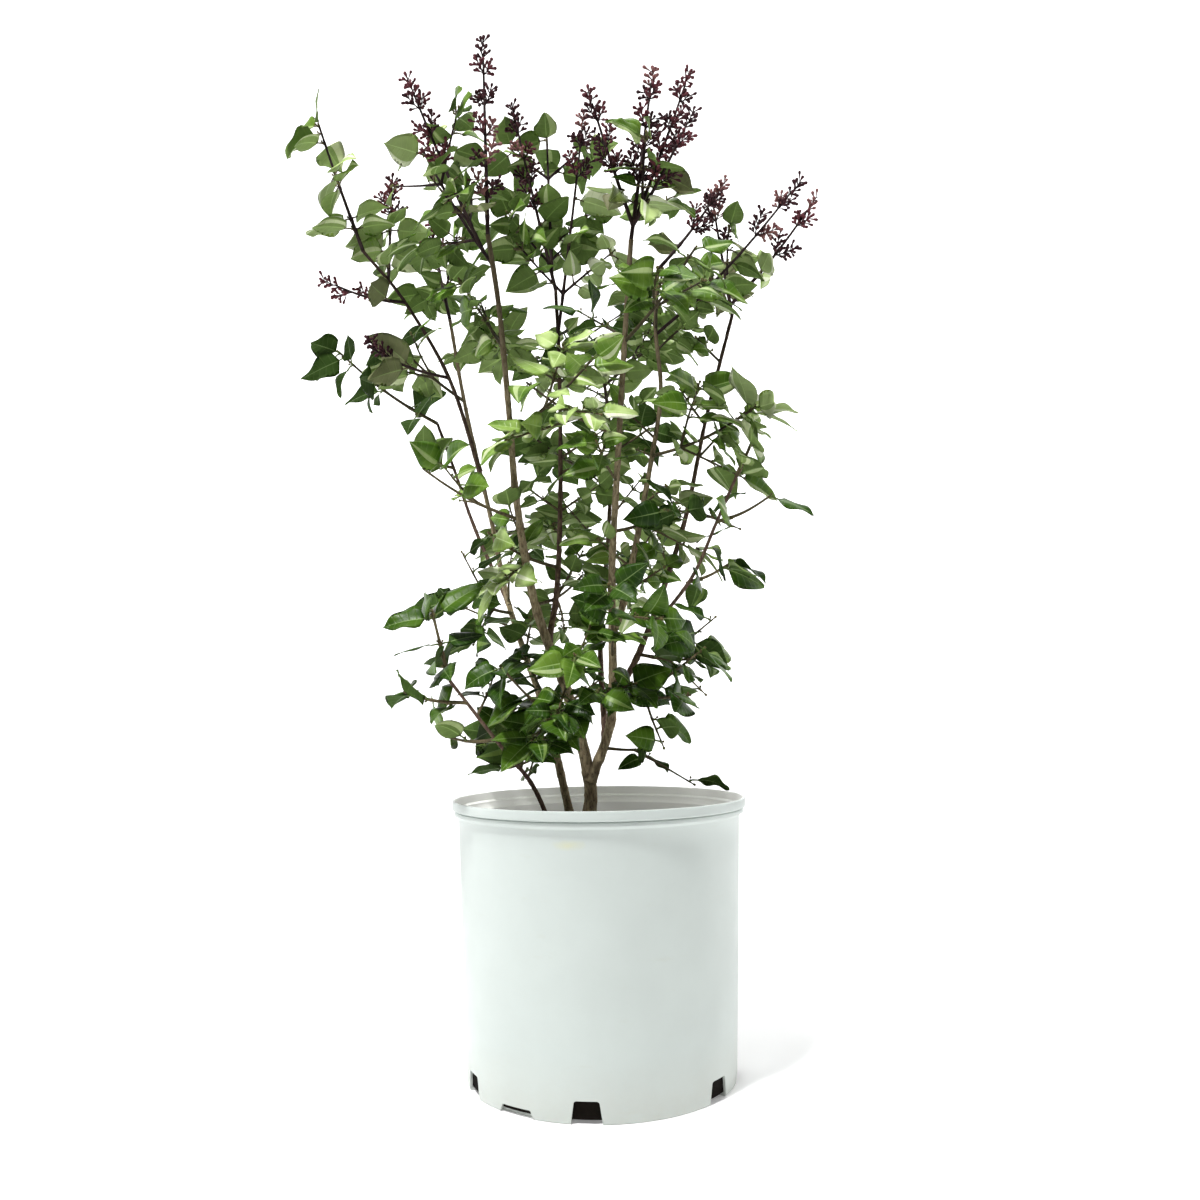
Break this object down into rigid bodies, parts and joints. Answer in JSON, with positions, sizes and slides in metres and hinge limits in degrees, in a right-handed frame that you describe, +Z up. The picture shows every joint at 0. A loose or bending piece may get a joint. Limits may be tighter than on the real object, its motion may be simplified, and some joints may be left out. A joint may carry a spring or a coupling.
{
  "type": "potted lilac bush",
  "caption": "Young lilac bush in bud: thin leaning stems with opposite heart-shaped leaves and dark purple flower panicles, rooted in a white plastic nursery pot with drain notches.",
  "frame": {"origin": "on the pot's axis, on the flat underside that it stands on", "axes": "+Z up along the plant, +X to the right and +Y away from someone who faces its front"},
  "size_m": [0.4639, 0.3275, 0.8174],
  "materials": {
    "pot": "white moulded plastic with a faint cool tint, satin",
    "soil": "moist dark bark mix",
    "bark": "tan-brown bark with small pores, darker and purple towards the tips",
    "foliage": "mid-green leaves, paler beneath, with dark purple buds"
  },
  "bodies": {
    "root": {"back_stem": "bark", "back_stem_shoot_1": "foliage", "back_stem_shoot_2": "foliage", "back_stem_shoot_3": "foliage", "centre_stem": "bark", "centre_stem_shoot_1": "foliage", "centre_stem_shoot_2": "foliage", "centre_stem_shoot_3": "foliage", "centre_stem_shoot_4": "foliage", "crown_panicles": "foliage", "far_panicle": "foliage", "foot_left_arm": "foliage", "foot_left_low": "foliage", "foot_left_tip": "foliage", "fork_panicles": "foliage", "inner_stem": "bark", "inner_stem_shoot_1": "foliage", "inner_stem_shoot_2": "foliage", "inner_stem_shoot_3": "foliage", "inner_top_sprays": "foliage", "left_arm": "foliage", "left_mid_low": "foliage", "left_panicle": "foliage", "left_side": "foliage", "left_small_panicle": "foliage", "low_front": "foliage", "low_left_back": "foliage", "low_left_front": "foliage", "low_left_stem": "bark", "low_right": "foliage", "low_right_front": "foliage", "low_right_twig": "foliage", "pot": "pot", "right_arm": "foliage", "right_arm_stem": "bark", "right_drop": "foliage", "right_inner": "foliage", "right_panicle": "foliage", "right_stem": "bark", "second_trunk": "bark", "second_trunk_shoot_1": "foliage", "second_trunk_shoot_2": "foliage", "small_panicle": "foliage", "soil": "soil", "tall_panicle": "foliage", "thin_left_stem": "bark", "thin_right_side": "foliage", "thin_right_stem": "bark", "thin_right_tip": "foliage", "top_left_sprays": "foliage", "trunk": "bark", "trunk_shoot_1": "foliage", "trunk_shoot_2": "foliage", "trunk_shoot_3": "foliage", "trunk_shoot_4": "foliage", "trunk_shoot_5": "foliage", "upper_left_back": "foliage", "upper_left_inner": "foliage", "upper_left_stem": "bark", "upper_left_tip": "foliage"}
  },
  "joints": []
}
